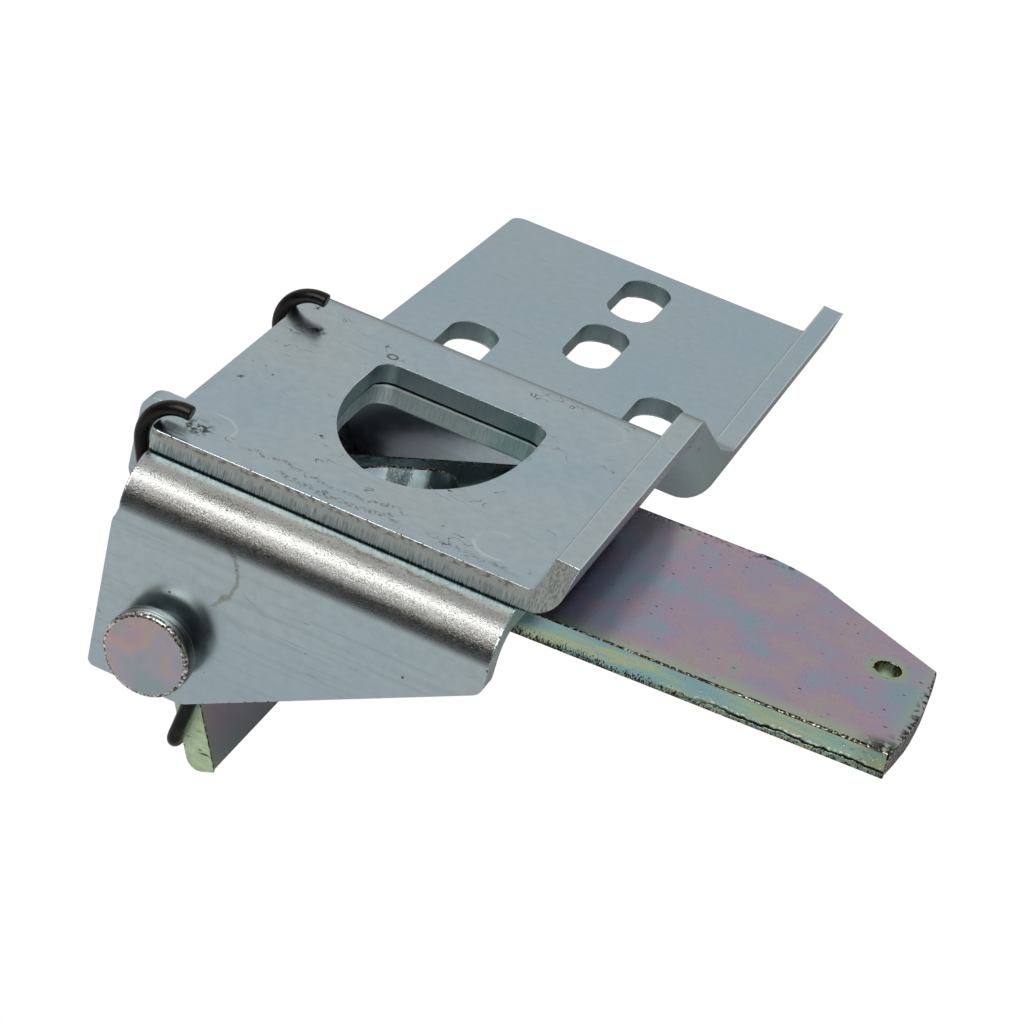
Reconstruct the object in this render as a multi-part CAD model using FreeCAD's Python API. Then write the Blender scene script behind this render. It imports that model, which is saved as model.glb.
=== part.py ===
import FreeCAD, Part
import math
import os

# Hood latch. A folded mounting plate carries a U-shaped saddle bracket welded
# under its front pad. A bent lever hooks over a clevis pin in the bracket and a
# double torsion spring holds its handle up against the bracket's web.
#
# Origin: top face of the pad, on the centre line of the striker opening and
# midway between the two cheeks. +X to the handle, +Y to the bolted end, +Z up.
# All sizes in millimetres.

# Mounting plate.
SHEET = 4.0               # plate thickness
PAD_LEFT = 34.65          # centre line to the pad's left edge
LIP_OUTER = 37.65         # centre line to the outside of the lip
PAD_FRONT = 28.3          # mid-plane to the front edge
PAD_BACK = 33.3           # mid-plane to where the slope would meet the pad
STEP_RUN = 28.7           # length of the slope in plan
STEP_DROP = 22.4          # how far the rear plate lies below the pad
REAR_EDGE = 135.55        # mid-plane to the rear edge
STEP_BEND_TOP = 6.0       # inside radius of the upper bend
STEP_BEND_FOOT = 5.0      # inside radius of the lower bend
LIP_BEND = 2.0            # inside radius of the lip's bend
LIP_LEAN = 13.0           # degrees, the lip leans outwards
LIP_HEIGHT = 6.9          # lip above the plate
LIP_SINKS = 2.0           # its top edge starts to sink this far before the upper bend
LIP_LEVELS = 4.0          # and is level again this far past the lower bend
LIP_CREASE_Y = 54.3       # where the lip's top edge changes slope on the joggle
LIP_CREASE_UP = 6.4       # lip left standing there, straight up from the slope
LIP_CREASE_ROUND = 3.0
FLARE_OUT = 1.65          # left edge steps out this far on the slope
REAR_TAPER = 3.95         # and comes in again by this much at the rear
PLATE_CORNER = 2.5        # rounding of the plate's free corners

# Striker opening.
OPENING_HALF_WIDTH = 15.65
OPENING_FRONT = 15.4      # mid-plane to the foot of the rounded front
OPENING_REAR = 20.0       # mid-plane to the straight rear edge
OPENING_ARC = 24.1        # length of the half ellipse at the front
OPENING_CORNER = 3.5
OPENING_STEP = 0.3        # the web's opening is this much larger all round

# Bolt slots.
SLOT_WIDTH = 9.7
SLOT_LENGTH = 19.5
SIDE_SLOT_SPACING = 38.5  # between the two front slots, side by side
SIDE_SLOT_Y = 77.0
MID_SLOT_X = 0.7          # the two middle slots stand one behind the other
MID_SLOT_Y = 96.2
MID_SLOT_SPACING = 24.5

# Saddle bracket. Its cheeks stand just outside the spring's coils.
BRACKET_SHEET = 4.0
BRACKET_BEND = 4.0        # inside radius of both long bends
CHEEK_GAP = 1.36          # cheek clear of the spring's coil
WEB_LEFT = 34.35
WEB_RIGHT = 29.85
CHEEK_BOTTOM = 41.5       # below the pad's top face
CHEEK_STEP = 0.65         # cheeks reach this far beyond the web's left edge
CHEEK_LEAN = 0.75         # their left edge comes in by this much at the bottom
CHEEK_FLAT = 17.2         # level part of the bottom edge
CHEEK_TAPER_END = 16.5    # depth at which the sloping edge meets the right edge
CHEEK_CORNER = 2.5
LUG_REACH = 26.7          # far cheek's lug, beyond the pad's left edge
LUG_TOP = 31.8            # depth of its upper edge below the pad's top face
LUG_BOTTOM = 50.0
LUG_CORNER = 3.0

# Pivot pin.
PIN_RADIUS = 4.0
PIN_X = -22.85
PIN_Z = -31.65
PIN_CLEAR = 0.05          # radial clearance in the cheeks and in the lever
HEAD_RADIUS = 7.35
HEAD_THICK = 3.0
HEAD_EDGE = 0.3           # chamfer round the head
HEAD_GAP = 2.5            # end play under the head
WASHER_RADIUS = 8.0
WASHER_THICK = 1.6
WASHER_GAP = 0.1
SPLIT_RADIUS = 1.0
SPLIT_GAP = 0.3           # between washer and split pin
SPLIT_CLEAR = 0.1
SPLIT_LEG = 4.5           # legs spread below the pin
PIN_BEYOND = 3.5          # pin beyond the split pin's centre

# Release lever.
BAR_THICK = 4.7
BAR_WIDTH = 42.8
HANDLE_RISE = 2.07        # degrees, handle rising to the right
REST_GAP = 0.05           # handle under the web's right edge
HANDLE_BEND_X = 13.75     # the shallow bend under the pad
HANDLE_BEND = 12.0        # its inside radius
TAIL_LEAN = 24.0          # degrees, tail leaning to the right as it goes down
TAIL_LENGTH = 31.3        # along the tail, from the pin's axis
TAIL_ROUND = 2.6
HANDLE_END = 89.85        # centre line to the handle's tip
HANDLE_BULGE = 1.1
TAPER_TIP_Y = 6.3
TAPER_RUN = 27.6
TAPER_BLEND = 32.0
HANDLE_HOLE = 4.6
HANDLE_HOLE_X = 82.85
HANDLE_HOLE_Y = 1.6
CATCH_WIDTH = 35.2        # the lever's own opening, across the bar
CATCH_LEFT = 17.0         # centre line to its left edge, in plan
CATCH_RIGHT = 5.0         # and to its right edge, which holds the striker
CATCH_CORNER = 8.0

# Torsion spring.
WIRE = 2.5
WIRE_FLATS = 16           # the wire's round is drawn with this many flats
COIL_MEAN = 5.5           # mean radius of the coils
COIL_TURNS = 2            # full turns, beside what the legs add
COIL_PITCH = 2.62
COIL_SPANS = 16           # mitred spans in one turn
COIL_GAP = 0.3            # between coil and lever
COIL_ARRIVES = 60.0       # degrees round the coil where the hook leg joins
HOOK_Y = 25.15            # mid-plane to each hook
HOOK_RADIUS = 6.5
HOOK_DROP = 3.2           # hook's centre below the pad's top face
HOOK_GAP = 0.1            # hook clear of the pad's edge
HOOK_TIP = 80.0           # degrees, where the hook ends
HOOK_LEAVES = 198.0       # degrees, where its leg leaves the hook, leaning inwards
LEG_BEND = 4.0
BRIDGE_DEPTH = 27.3       # bridge below the pin's axis
BRIDGE_GAP = 0.1          # bridge clear of the tail
BRIDGE_CORNER = 2.5

LEAN = math.radians(LIP_LEAN)
BAR_HALF = BAR_WIDTH / 2
FAR = 400.0               # reach of the cutting profiles


def V(x, y, z):
    return FreeCAD.Vector(x, y, z)


def unit(v):
    return v * (1.0 / v.Length)


def coil_point(angle, y):
    return V(PIN_X + COIL_MEAN * math.cos(angle), y, PIN_Z + COIL_MEAN * math.sin(angle))


def bridge_point():
    """Centre of the bridge wire, which lies against the tail's outer skin."""
    lean = math.radians(TAIL_LEAN)
    out = PIN_RADIUS + PIN_CLEAR + BAR_THICK + WIRE / 2 + BRIDGE_GAP
    along = (BRIDGE_DEPTH - out * math.sin(lean)) / math.cos(lean)
    return PIN_X - out * math.cos(lean) + along * math.sin(lean), PIN_Z - BRIDGE_DEPTH


def coil_turned():
    """Radians wound between the hook leg's end and the bridge leg's start."""
    bridge_x, bridge_z = bridge_point()
    away = V(bridge_x - PIN_X, 0, bridge_z - PIN_Z)
    # The bridge leg leaves the coil's right side as a tangent to the bridge.
    leave = math.atan2(away.z, away.x) + math.acos(COIL_MEAN / away.Length)
    return math.radians(COIL_ARRIVES) - leave + 2 * math.pi * COIL_TURNS


# Half widths across the latch: lever, then coil, then cheek.
COIL_ADVANCE = COIL_PITCH * coil_turned() / (2 * math.pi)
CHEEK_IN = BAR_HALF + COIL_GAP + WIRE + COIL_ADVANCE + CHEEK_GAP
CHEEK_OUT = CHEEK_IN + BRACKET_SHEET


def corner_edges(points, radii, closed):
    """Straight runs joined by tangent arcs, as a list of edges."""
    count = len(points)
    entry = []
    leave = []
    middle = []
    for i in range(count):
        radius = radii[i]
        if radius <= 0 or (not closed and i in (0, count - 1)):
            entry.append(points[i])
            leave.append(points[i])
            middle.append(None)
            continue
        to_last = unit(points[i - 1] - points[i])
        to_next = unit(points[(i + 1) % count] - points[i])
        half = to_last.getAngle(to_next) / 2
        cut = radius / math.tan(half)
        centre = points[i] + unit(to_last + to_next) * (radius / math.sin(half))
        entry.append(points[i] + to_last * cut)
        leave.append(points[i] + to_next * cut)
        middle.append(centre + unit(points[i] - centre) * radius)
    edges = []
    for i in range(count):
        if middle[i] is not None:
            edges.append(Part.Arc(entry[i], middle[i], leave[i]).toShape())
        if i < count - 1 or closed:
            j = (i + 1) % count
            if (entry[j] - leave[i]).Length > 1e-6:
                edges.append(Part.LineSegment(leave[i], entry[j]).toShape())
    return edges


def outline(points, radii):
    """Face bounded by straight edges with rounded corners."""
    return Part.Face(Part.Wire(corner_edges(points, radii, True)))


def offset_line(points, normal, shift):
    """Shift a run of connected lines sideways, to the left of their direction."""
    moved = []
    last = len(points) - 1
    for i in range(len(points)):
        sides = []
        if i > 0:
            sides.append(unit(normal.cross(points[i] - points[i - 1])))
        if i < last:
            sides.append(unit(normal.cross(points[i + 1] - points[i])))
        if len(sides) == 1:
            moved.append(points[i] + sides[0] * shift)
        else:
            bisector = unit(sides[0] + sides[1])
            moved.append(points[i] + bisector * (shift / bisector.dot(sides[0])))
    return moved


def turn_sign(points, i, normal):
    ahead = (points[i] - points[i - 1]).cross(points[i + 1] - points[i])
    return 1.0 if ahead.dot(normal) > 0 else -1.0


def folded_strip(points, inside, normal, thickness):
    """Side view of a folded sheet: points on one skin, metal to their left.

    inside holds the inside radius of each bend, on whichever side it is."""
    skin = []
    other = []
    for i in range(len(points)):
        if i in (0, len(points) - 1):
            skin.append(0.0)
            other.append(0.0)
        elif turn_sign(points, i, normal) > 0:
            skin.append(inside[i] + thickness)
            other.append(inside[i])
        else:
            skin.append(inside[i])
            other.append(inside[i] + thickness)
    back = offset_line(points, normal, thickness)
    edges = corner_edges(points, skin, False)
    edges.append(Part.LineSegment(points[-1], back[-1]).toShape())
    edges.extend(corner_edges(back, other, False))
    edges.append(Part.LineSegment(back[0], points[0]).toShape())
    return Part.Face(Part.Wire(Part.__sortEdges__(edges)))


def cylinder(radius, start, end):
    along = end - start
    return Part.makeCylinder(radius, along.Length, start, along)


def opening_profile(grow, z):
    """D-shaped outline: half ellipse at the front, straight edge at the rear."""
    half = OPENING_HALF_WIDTH + grow
    rear = OPENING_REAR + grow
    arc = OPENING_ARC + grow
    centre_y = OPENING_ARC - OPENING_FRONT
    centre = V(0, centre_y, z)
    ellipse = Part.Ellipse(V(0, centre_y - arc, z), V(half, centre_y, z), centre)
    front = Part.ArcOfEllipse(ellipse, -math.pi / 2, math.pi / 2).toShape()
    corner = OPENING_CORNER + grow
    points = [V(half, centre_y, z), V(half, rear, z), V(-half, rear, z), V(-half, centre_y, z)]
    edges = corner_edges(points, [0, corner, corner, 0], False)
    edges.append(front)
    return Part.Face(Part.Wire(Part.__sortEdges__(edges)))


def slot(x, y):
    radius = SLOT_WIDTH / 2
    reach = SLOT_LENGTH / 2
    z = -STEP_DROP - 2 * SHEET
    points = [V(x - radius, y - reach, z), V(x + radius, y - reach, z),
              V(x + radius, y + reach, z), V(x - radius, y + reach, z)]
    face = outline(points, [radius - 0.001] * 4)
    return face.extrude(V(0, 0, 4 * SHEET))


# Side view of the top skin, from the rear edge to the front edge, so that the
# metal lies to its left, which is below it.
def plate_line():
    """Outer skin of the mounting plate in side view, from its rear edge forward."""
    foot_y = PAD_BACK + STEP_RUN
    return [V(0, REAR_EDGE, -STEP_DROP), V(0, foot_y, -STEP_DROP), V(0, PAD_BACK, 0), V(0, -PAD_FRONT, 0)]


def left_of_lip(at_top):
    """Everything to the left of one skin of the lip, which leans outwards.

    at_top is where that skin stands at the lip's full height. The skin is one
    plane above the pad, one above the slope and one above the rear plate."""
    tilt = math.tan(LEAN)
    fall = math.atan2(STEP_DROP, STEP_RUN)
    planes = []
    for base, turn in ((V(0, PAD_BACK, 0), 0), (V(0, PAD_BACK, 0), -fall), (V(0, REAR_EDGE, -STEP_DROP), 0)):
        low = V(at_top - (LIP_HEIGHT + FAR) * tilt, -FAR, -FAR)
        high = V(at_top + (FAR - LIP_HEIGHT) * tilt, -FAR, FAR)
        space = Part.Face(Part.makePolygon([low, high, V(-FAR, -FAR, FAR), V(-FAR, -FAR, -FAR), low]))
        space = space.extrude(V(0, 2 * FAR, 0))
        space.rotate(V(0, 0, 0), V(1, 0, 0), math.degrees(turn))
        space.translate(base)
        planes.append(space)
    return planes[0].fuse(planes[1]).common(planes[2])


def mounting_plate():
    normal = V(1, 0, 0)
    line = plate_line()
    bends = [0, STEP_BEND_FOOT, STEP_BEND_TOP, 0]
    left = -PAD_LEFT - 2 * FLARE_OUT
    across = (LIP_BEND + SHEET) * math.cos(LEAN)
    rise = LIP_HEIGHT - LIP_BEND + (LIP_BEND + SHEET) * math.sin(LEAN)
    bend_start = LIP_OUTER - across - rise * math.tan(LEAN)
    side = folded_strip(line, bends, normal, SHEET)
    side.translate(V(left, 0, 0))
    sheet = side.extrude(V(bend_start - left, 0, 0))

    # The lip's bend: part of a ring carried along the folded side view.
    radii = [0, STEP_BEND_FOOT, STEP_BEND_TOP + SHEET, 0]
    path = Part.Wire(corner_edges([p + V(bend_start, 0, 0) for p in line], radii, False))
    centre = V(bend_start, REAR_EDGE, -STEP_DROP + LIP_BEND)
    ring = []
    for radius in (LIP_BEND, LIP_BEND + SHEET):
        rim = []
        for angle in (-math.pi / 2, (-math.pi / 2 - LEAN) / 2, -LEAN):
            rim.append(centre + V(radius * math.cos(angle), 0, radius * math.sin(angle)))
        ring.append((rim[0], Part.Arc(rim[0], rim[1], rim[2]).toShape(), rim[2]))
    edges = [ring[0][1], ring[1][1]]
    edges.append(Part.LineSegment(ring[0][0], ring[1][0]).toShape())
    edges.append(Part.LineSegment(ring[0][2], ring[1][2]).toShape())
    section = Part.Wire(Part.__sortEdges__(edges))
    lip_bend = path.makePipeShell([section], True, False)

    # The lip's wall stands on that bend. Its top edge sinks on the slope, where
    # the sheet was stretched round the joggle.
    start = LIP_BEND - (LIP_BEND + SHEET) * math.sin(LEAN)
    foot = offset_line(line, normal, -start)
    foot_radii = [0, STEP_BEND_FOOT - start, STEP_BEND_TOP + SHEET + start, 0]
    slope = STEP_DROP / STEP_RUN
    crease = V(0, LIP_CREASE_Y, -(LIP_CREASE_Y - PAD_BACK) * slope + LIP_CREASE_UP)
    top = [V(0, -PAD_FRONT, LIP_HEIGHT), V(0, PAD_BACK - LIP_SINKS, LIP_HEIGHT), crease,
           V(0, PAD_BACK + STEP_RUN + LIP_LEVELS, LIP_HEIGHT - STEP_DROP),
           V(0, REAR_EDGE, LIP_HEIGHT - STEP_DROP)]
    top_radii = [0, STEP_BEND_TOP + 2 * SHEET, LIP_CREASE_ROUND, STEP_BEND_FOOT + SHEET, 0]
    edges = corner_edges(foot, foot_radii, False)
    edges.extend(corner_edges(top, top_radii, False))
    edges.append(Part.LineSegment(foot[-1], top[0]).toShape())
    edges.append(Part.LineSegment(top[-1], foot[0]).toShape())
    wall_face = Part.Face(Part.Wire(Part.__sortEdges__(edges)))
    wall_face.translate(V(bend_start, 0, 0))
    wall = wall_face.extrude(V(2 * LIP_OUTER, 0, 0))
    wall = wall.common(left_of_lip(LIP_OUTER)).cut(left_of_lip(LIP_OUTER - SHEET / math.cos(LEAN)))
    plate = sheet.fuse([lip_bend, wall]).removeSplitter()

    # Outline in plan: the left edge flares on the slope and tapers to the rear.
    rear_left = -PAD_LEFT - FLARE_OUT + REAR_TAPER
    z = -STEP_DROP - 3 * SHEET
    plan = [V(LIP_OUTER + SHEET, -PAD_FRONT, z), V(LIP_OUTER + SHEET, REAR_EDGE, z),
            V(rear_left, REAR_EDGE, z), V(-PAD_LEFT - FLARE_OUT, PAD_BACK, z),
            V(-PAD_LEFT, PAD_BACK - 3 * SHEET, z), V(-PAD_LEFT, -PAD_FRONT, z)]
    corners = [0, 0, PLATE_CORNER, 2 * SHEET, 2 * SHEET, PLATE_CORNER / 2]
    plate = plate.common(outline(plan, corners).extrude(V(0, 0, FAR)))

    cuts = [opening_profile(0.0, -2 * SHEET).extrude(V(0, 0, 4 * SHEET))]
    for side in (-0.5, 0.5):
        cuts.append(slot(side * SIDE_SLOT_SPACING, SIDE_SLOT_Y))
    for step in (0, 1):
        cuts.append(slot(MID_SLOT_X, MID_SLOT_Y + step * MID_SLOT_SPACING))
    for cutter in cuts:
        plate = plate.cut(cutter)
    return plate


def cheek_outline(lug):
    """Side view of one cheek with the web above it, seen along Y."""
    top = -SHEET
    left = -WEB_LEFT - CHEEK_STEP
    right = WEB_RIGHT
    bottom = -CHEEK_BOTTOM
    taper = V(left + CHEEK_LEAN + CHEEK_FLAT, 0, bottom)
    points = [V(right, 0, top), V(right, 0, -CHEEK_TAPER_END), taper]
    radii = [0, CHEEK_CORNER, 3 * CHEEK_CORNER]
    if lug:
        tip = -PAD_LEFT - LUG_REACH
        points += [V(left + CHEEK_LEAN, 0, -LUG_BOTTOM), V(tip, 0, -LUG_BOTTOM), V(tip, 0, -LUG_TOP),
                   V(left + CHEEK_LEAN / 2, 0, -LUG_TOP)]
        radii += [3 * CHEEK_CORNER, LUG_CORNER, LUG_CORNER, LUG_CORNER]
    else:
        points.append(V(left + CHEEK_LEAN, 0, bottom))
        radii.append(CHEEK_CORNER / 2)
    below_bend = top - BRACKET_SHEET - BRACKET_BEND
    points += [V(left, 0, below_bend - BRACKET_BEND / 2), V(-WEB_LEFT, 0, below_bend), V(-WEB_LEFT, 0, top)]
    radii += [CHEEK_CORNER, CHEEK_CORNER, 0]
    return outline(points, radii)


def saddle_bracket():
    normal = V(1, 0, 0)
    depth = -LUG_BOTTOM - SHEET
    line = [V(0, -CHEEK_OUT, depth), V(0, -CHEEK_OUT, -SHEET), V(0, CHEEK_OUT, -SHEET), V(0, CHEEK_OUT, depth)]
    line.reverse()
    side = folded_strip(line, [0, BRACKET_BEND, BRACKET_BEND, 0], normal, BRACKET_SHEET)
    left = -PAD_LEFT - LUG_REACH - SHEET
    side.translate(V(left, 0, 0))
    trough = side.extrude(V(WEB_RIGHT - left + SHEET, 0, 0))
    near = cheek_outline(False)
    near.translate(V(0, -CHEEK_OUT - 1, 0))
    near_half = trough.common(near.extrude(V(0, CHEEK_OUT + 1, 0)))
    far_half = trough.common(cheek_outline(True).extrude(V(0, CHEEK_OUT + 1, 0)))
    bracket = near_half.fuse(far_half).removeSplitter()
    bracket = bracket.cut(opening_profile(OPENING_STEP, -4 * SHEET).extrude(V(0, 0, 6 * SHEET)))
    bore = cylinder(PIN_RADIUS + PIN_CLEAR, V(PIN_X, -CHEEK_OUT - 1, PIN_Z), V(PIN_X, CHEEK_OUT + 1, PIN_Z))
    return bracket.cut(bore)


def lever_line():
    """Top skin of the bar in side view, from the handle's tip to the tail.

    The handle rests under the web's right edge; the arm falls from the shallow
    bend and lies tangent to the pin, which seats in the knee."""
    seat = PIN_RADIUS + PIN_CLEAR
    skin = seat + BAR_THICK
    axis = V(PIN_X, 0, PIN_Z)
    rise = math.tan(math.radians(HANDLE_RISE))
    rest_z = -SHEET - BRACKET_SHEET - REST_GAP

    def on_handle(x):
        return V(x, 0, rest_z + (x - WEB_RIGHT) * rise)

    bend = on_handle(HANDLE_BEND_X)
    to_bend = bend - axis
    fall = math.atan2(to_bend.z, to_bend.x) - math.asin(skin / to_bend.Length)
    lean = math.radians(TAIL_LEAN)
    arm_along = V(-math.cos(fall), 0, -math.sin(fall))
    tail_along = V(math.sin(lean), 0, -math.cos(lean))
    tail_point = axis + V(-math.cos(lean), 0, -math.sin(lean)) * skin
    # Where the arm's skin and the tail's skin would meet.
    gap = tail_point - bend
    cross = arm_along.x * tail_along.z - arm_along.z * tail_along.x
    knee = bend + arm_along * ((gap.x * tail_along.z - gap.z * tail_along.x) / cross)
    tip = on_handle(HANDLE_END + 2 * HANDLE_BULGE)
    return [tip, bend, knee, tail_point + tail_along * TAIL_LENGTH], seat


def release_lever():
    line, seat = lever_line()
    side = folded_strip(line, [0, HANDLE_BEND, seat, 0], V(0, -1, 0), BAR_THICK)
    side.translate(V(0, -BAR_HALF, 0))
    bar = side.extrude(V(0, BAR_WIDTH, 0))

    # Handle in plan: bulged end, then a taper that blends into the back edge.
    z = -FAR / 2
    left = PIN_X - 3 * WASHER_RADIUS
    front_tip = V(HANDLE_END, -BAR_HALF, z)
    back_tip = V(HANDLE_END, TAPER_TIP_Y, z)
    bulge = V(HANDLE_END + HANDLE_BULGE, (TAPER_TIP_Y - BAR_HALF) / 2, z)
    run = [back_tip, V(HANDLE_END - TAPER_RUN, BAR_HALF, z), V(left, BAR_HALF, z),
           V(left, -BAR_HALF, z), front_tip]
    edges = corner_edges(run, [0, TAPER_BLEND, 0, 0, 0], False)
    edges.append(Part.Arc(front_tip, bulge, back_tip).toShape())
    plan = Part.Face(Part.Wire(Part.__sortEdges__(edges)))
    bar = bar.common(plan.extrude(V(0, 0, FAR)))

    # The lever's own opening, under the one in the plate.
    half = CATCH_WIDTH / 2
    z = -CHEEK_BOTTOM
    points = [V(-CATCH_LEFT, -half, z), V(CATCH_RIGHT, -half, z), V(CATCH_RIGHT, half, z), V(-CATCH_LEFT, half, z)]
    bar = bar.cut(outline(points, [CATCH_CORNER] * 4).extrude(V(0, 0, CHEEK_BOTTOM)))

    hole = cylinder(HANDLE_HOLE / 2, V(HANDLE_HOLE_X, HANDLE_HOLE_Y, -3 * BAR_THICK - SHEET),
                    V(HANDLE_HOLE_X, HANDLE_HOLE_Y, 3 * BAR_THICK))
    bar = bar.cut(hole)

    # Round the outer edge at the tail's foot.
    foot = line[3]
    for edge in bar.Edges:
        ends = [v.Point for v in edge.Vertexes]
        if len(ends) == 2 and all(abs(p.x - foot.x) < 0.01 and abs(p.z - foot.z) < 0.01 for p in ends):
            bar = bar.makeFillet(TAIL_ROUND, [edge])
            break
    return bar


HEAD_FACE = -CHEEK_OUT - HEAD_GAP - HEAD_THICK
WASHER_Y = CHEEK_OUT + WASHER_GAP
SPLIT_Y = WASHER_Y + WASHER_THICK + SPLIT_GAP + SPLIT_RADIUS
PIN_END = SPLIT_Y + PIN_BEYOND


def pivot_pin():
    # Half section of the headed pin, turned about its axis.
    points = [V(PIN_X, HEAD_FACE, PIN_Z), V(PIN_X + HEAD_RADIUS - HEAD_EDGE, HEAD_FACE, PIN_Z),
              V(PIN_X + HEAD_RADIUS, HEAD_FACE + HEAD_EDGE, PIN_Z),
              V(PIN_X + HEAD_RADIUS, HEAD_FACE + HEAD_THICK, PIN_Z),
              V(PIN_X + PIN_RADIUS, HEAD_FACE + HEAD_THICK, PIN_Z),
              V(PIN_X + PIN_RADIUS, PIN_END - PIN_RADIUS / 4, PIN_Z),
              V(PIN_X + PIN_RADIUS * 0.75, PIN_END, PIN_Z), V(PIN_X, PIN_END, PIN_Z)]
    pin = outline(points, [0] * 8).revolve(V(PIN_X, 0, PIN_Z), V(0, 1, 0), 360)
    hole = SPLIT_RADIUS + SPLIT_CLEAR
    across = cylinder(hole, V(PIN_X, SPLIT_Y, PIN_Z - 2 * PIN_RADIUS), V(PIN_X, SPLIT_Y, PIN_Z + 2 * PIN_RADIUS))
    return pin.cut(across)


def pin_washer():
    start = V(PIN_X, WASHER_Y, PIN_Z)
    end = V(PIN_X, WASHER_Y + WASHER_THICK, PIN_Z)
    return cylinder(WASHER_RADIUS, start, end).cut(cylinder(PIN_RADIUS + 2 * PIN_CLEAR, start, end))


def split_pin():
    """Folded wire: a flat eye above the pin and two legs through it, spread below."""
    top = PIN_Z + PIN_RADIUS
    spread = top - 2 * PIN_RADIUS - SPLIT_RADIUS
    shank = cylinder(SPLIT_RADIUS, V(PIN_X, SPLIT_Y, spread), V(PIN_X, SPLIT_Y, top + SPLIT_RADIUS))
    half = V(0, 0.7 * SPLIT_RADIUS, 0)
    centre = V(PIN_X, SPLIT_Y, top + 2.6 * SPLIT_RADIUS)
    eye = cylinder(2.2 * SPLIT_RADIUS, centre - half, centre + half)
    eye = eye.cut(cylinder(1.2 * SPLIT_RADIUS, centre - half * 2, centre + half * 2))
    pin = shank.fuse(eye)
    for side in (-1, 1):
        root = V(PIN_X + side * SPLIT_RADIUS * 0.35, SPLIT_Y, spread + SPLIT_RADIUS / 2)
        tip = root + V(side * SPLIT_LEG * 0.6, 0, -SPLIT_LEG * 0.8)
        pin = pin.fuse(cylinder(SPLIT_RADIUS * 0.6, root, tip))
    return pin.removeSplitter()


def half_spring():
    """Front half: hook, leg, coil and half of the bridge, ending at mid-plane."""
    # Hook: an arc that clears the pad's top left edge by the hook gap.
    reach = HOOK_RADIUS - WIRE / 2 - HOOK_GAP
    centre = V(-PAD_LEFT + math.sqrt(reach * reach - HOOK_DROP * HOOK_DROP), -HOOK_Y, -HOOK_DROP)

    def on_hook(degrees):
        a = math.radians(degrees)
        return centre + V(HOOK_RADIUS * math.cos(a), 0, HOOK_RADIUS * math.sin(a))

    bridge_x, bridge_z = bridge_point()
    arrive = math.radians(COIL_ARRIVES)
    turned = coil_turned()
    inner_y = -BAR_HALF - COIL_GAP - WIRE / 2
    outer_y = inner_y - COIL_ADVANCE

    # Hook leg: down past the web's edge, then in to the coil's upper side.
    steps = int(round(COIL_SPANS * turned / (2 * math.pi)))
    turns = [coil_point(arrive - turned * i / steps, outer_y + COIL_ADVANCE * i / steps) for i in range(steps + 1)]
    down = on_hook(HOOK_LEAVES)
    leaves = math.radians(HOOK_LEAVES)
    leg = V(-math.sin(leaves), 0, math.cos(leaves))
    coil = V(-math.sin(arrive), 0, math.cos(arrive))
    across = turns[0] - down
    run = (across.x * coil.z - across.z * coil.x) / (leg.x * coil.z - leg.z * coil.x)
    elbow = V(down.x + run * leg.x, down.y, down.z + run * leg.z)
    edges = [Part.Arc(on_hook(HOOK_TIP), on_hook((HOOK_LEAVES + HOOK_TIP) / 2), down).toShape()]
    edges.extend(corner_edges([down, elbow, turns[0]], [0, LEG_BEND, 0], False))

    # Coil: wound inwards from the cheek to the lever, in short mitred spans.
    for i in range(steps):
        edges.append(Part.LineSegment(turns[i], turns[i + 1]).toShape())

    # Bridge leg, corner and half of the bridge.
    corner = V(bridge_x, inner_y, bridge_z)
    middle = V(bridge_x, 0, bridge_z)
    edges.extend(corner_edges([turns[-1], corner, middle], [0, BRIDGE_CORNER, 0], False))
    path = Part.Wire(edges)
    first = path.OrderedEdges[0]
    start = first.valueAt(first.FirstParameter)
    along = first.tangentAt(first.FirstParameter)
    side = unit(along.cross(V(0, 1, 0)))
    rim = [math.pi * (2 * k + 1) / WIRE_FLATS for k in range(WIRE_FLATS)]
    flats = [start + V(0, 1, 0) * (WIRE / 2 * math.cos(a)) + side * (WIRE / 2 * math.sin(a)) for a in rim]
    return path.makePipeShell([Part.makePolygon(flats + flats[:1])], True, False, 1)


def torsion_spring():
    """Both halves, the rear one wound to the other hand."""
    half = half_spring()
    return half.fuse(half.mirror(V(0, 0, 0), V(0, 1, 0))).removeSplitter()


os.makedirs("parts", exist_ok=True)
parts = {
    "mounting_plate": mounting_plate(),
    "saddle_bracket": saddle_bracket(),
    "release_lever": release_lever(),
    "pivot_pin": pivot_pin(),
    "pin_washer": pin_washer(),
    "split_pin": split_pin(),
    "torsion_spring": torsion_spring(),
}
for name, shape in parts.items():
    solid = shape.Solids[0]
    box = solid.BoundBox
    print(name, "solids", len(shape.Solids), "valid", solid.isValid(), "volume %.1f" % solid.Volume,
          "x %.2f %.2f y %.2f %.2f z %.2f %.2f" % (box.XMin, box.XMax, box.YMin, box.YMax, box.ZMin, box.ZMax))
    solid.exportStep("parts/%s.step" % name)
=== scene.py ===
# %% [markdown]
# # Hood latch
# The latch under a car's hood: a folded mounting plate over a saddle bracket,
# with a bent release lever that a double torsion spring holds up. All of it is
# zinc-plated steel but for the black spring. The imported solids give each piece
# its size and place. This file adds the round spring wire, the turned pin, the
# finishes with their wear, the studio and the camera.

# %% Load the solids
import math
import bpy
from mathutils import Matrix, Vector


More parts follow.
